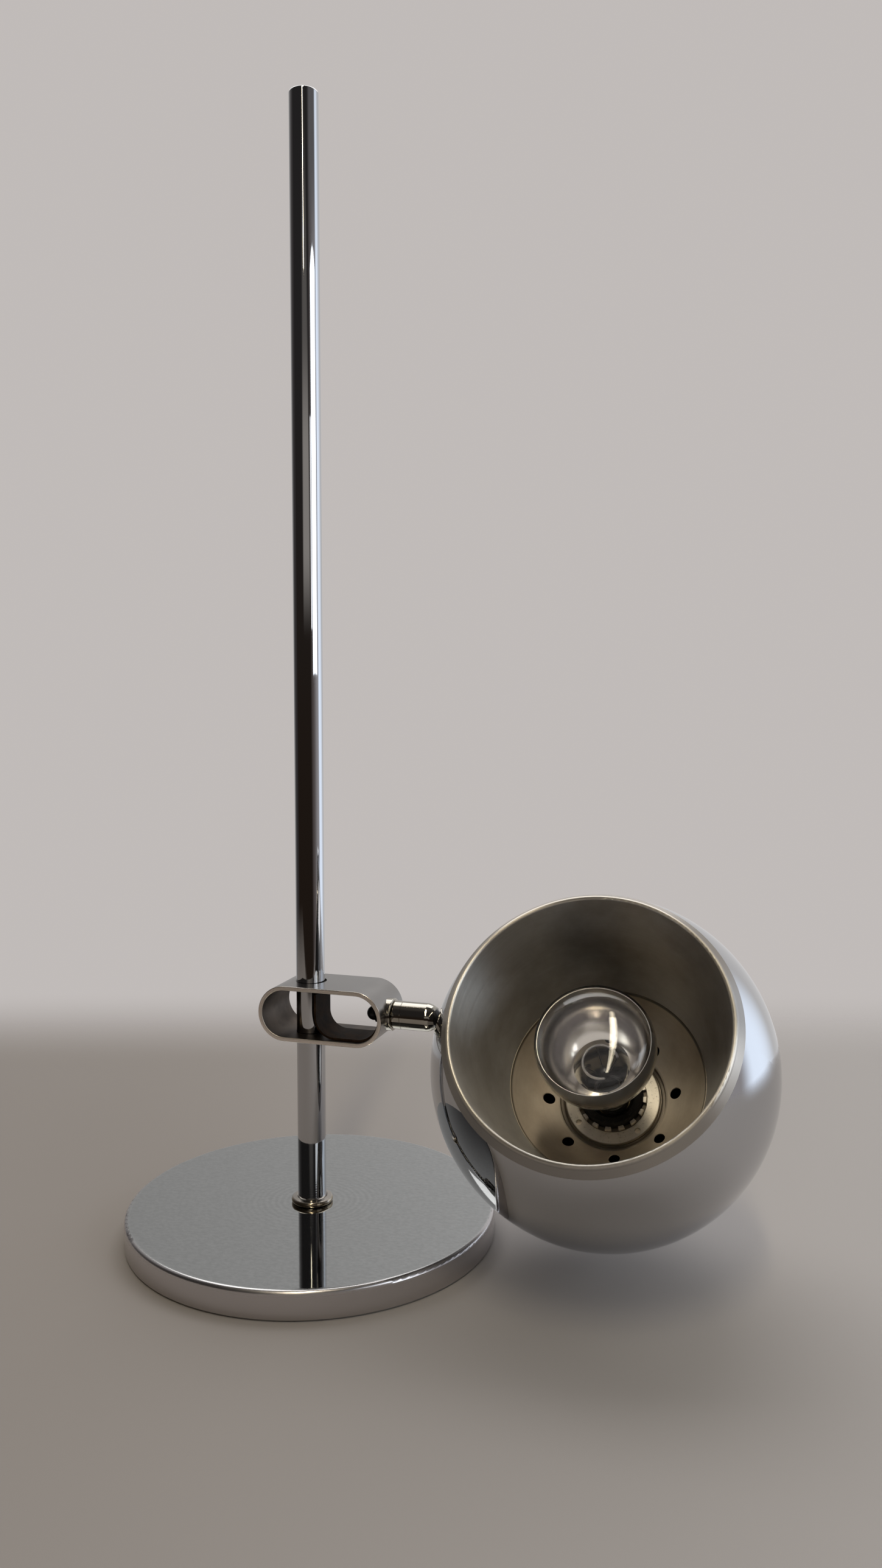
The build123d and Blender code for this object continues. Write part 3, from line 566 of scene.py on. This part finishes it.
def studio():
    """The room as the polished metal sees it.

    A pale wall behind the lamp grows brighter and cooler to the right, where a window is near. The side
    wall under and over the window is dimmer, the room before the lamp is dark, and a pale band crosses it.
    """
    world = bpy.data.worlds.new("studio")
    world.use_nodes = True
    scene.world = world
    graph = Graph(world.node_tree)
    direction = graph.node("ShaderNodeTexCoord").outputs["Generated"]
    away = graph.dot(direction, AWAY)
    beside = graph.dot(direction, RIGHT)
    height = graph.dot(direction, UP)
    wall = graph.mix(graph.step(beside, -0.97, -0.45), (0.05, 0.045, 0.045), (0.41, 0.40, 0.395))
    wall = graph.mix(graph.step(beside, -0.45, 0.35), wall, (0.68, 0.67, 0.67))
    wall = graph.mix(graph.step(beside, 0.66, 0.95), wall, (1.35, 1.50, 1.72))
    dark = graph.mix(graph.step(height, -0.10, 0.35), (0.022, 0.015, 0.011), (0.028, 0.026, 0.026))
    band = graph.times(graph.step(height, 0.05, 0.13), graph.step(height, 0.20, 0.30, 1.0, 0.35))
    band = graph.times(band, graph.fall(height, 0.36, 0.46))
    band = graph.times(band, graph.step(away, -0.86, -0.94))
    dark = graph.mix(band, dark, (0.36, 0.335, 0.31))
    beneath = graph.mix(graph.step(away, -0.75, -0.15), (0.12, 0.10, 0.095), (0.42, 0.40, 0.41))
    side = graph.mix(graph.step(height, 0.30, 0.42), beneath, (0.15, 0.145, 0.15))
    before = graph.mix(graph.step(beside, 0.40, 0.70), dark, side)
    room = graph.mix(graph.step(away, -0.08, 0.20), before, wall)
    room = graph.mix(graph.step(height, 0.72, 0.95), room, (0.075, 0.07, 0.066))
    rays = graph.node("ShaderNodeLightPath").outputs
    seen = graph.plus(rays["Is Camera Ray"], rays["Is Transmission Ray"])
    colour = graph.mix(graph.maths("MINIMUM", seen, 1.0), room, WALL_COLOUR)
    background = world.node_tree.nodes["Background"]
    graph.set(background.inputs["Color"], colour)
    background.inputs["Strength"].default_value = 1.0


def towards(azimuth, elevation):
    """The direction so many degrees to the right of the wall's and so many above the floor."""
    turn = math.radians(azimuth)
    rise = math.radians(elevation)
    level = AWAY * math.cos(turn) + RIGHT * math.sin(turn)
    return level * math.cos(rise) + Vector((0.0, 0.0, math.sin(rise)))


def stand(thing, place, direction):
    """Stand a lamp or camera at a place, looking in a direction."""
    scene.collection.objects.link(thing)
    thing.location = place
    thing.rotation_mode = "QUATERNION"
    thing.rotation_quaternion = direction.to_track_quat("-Z", "Y")


def softbox(name, place, aim, size, radiance, colour):
    """A rectangular lamp that glows evenly at the given radiance."""
    lamp = bpy.data.lights.new(name, "AREA")
    lamp.shape = "RECTANGLE"
    lamp.size, lamp.size_y = size
    lamp.energy = radiance * math.pi * lamp.size * lamp.size_y
    lamp.color = colour
    stand(bpy.data.objects.new(name, lamp), place, Vector(aim) - place)


def camera():
    data = bpy.data.cameras.new("camera")
    data.sensor_width = SENSOR_MILLIMETRES
    data.lens = SENSOR_MILLIMETRES * FOCAL_LENGTH_PIXELS / IMAGE_HEIGHT_PIXELS
    data.clip_start = 0.02
    thing = bpy.data.objects.new("camera", data)
    stand(thing, CAMERA_PLACE, CAMERA_AHEAD)
    scene.camera = thing


floor()
studio()
camera()
scene.view_settings.view_transform = "Standard"

# The window and its narrow pane to the right, a broad lamp above the wall, and two strips above and
# behind the camera that draw the bright lines on the bulb and the post.
softbox("window light", towards(116.0, 20.0) * 2.1, (0.0, 0.0, 0.2), (1.38, 0.86), 2.6, (0.86, 0.935, 1.0))
softbox("narrow pane", towards(142.0, 17.0) * 2.1, (0.0, 0.0, 0.2), (0.32, 0.44), 1.5, (0.95, 0.97, 1.0))
softbox("top light", towards(0.0, 61.0) * 2.5, (0.0, 0.0, 0.0), (2.4, 1.6), 2.1, (1.0, 0.99, 0.98))
strip_place = SHADE_CENTRE + towards(-172.0, 52.5) * 3.0
softbox("strip light", strip_place, SHADE_CENTRE, (0.16, 3.1), 8.5, (1.0, 0.88, 0.66))
broad_strip_place = SHADE_CENTRE + towards(-172.0, 63.0) * 2.98
softbox("broad strip", broad_strip_place, SHADE_CENTRE, (0.22, 1.2), 12.0, (1.0, 0.9, 0.72))
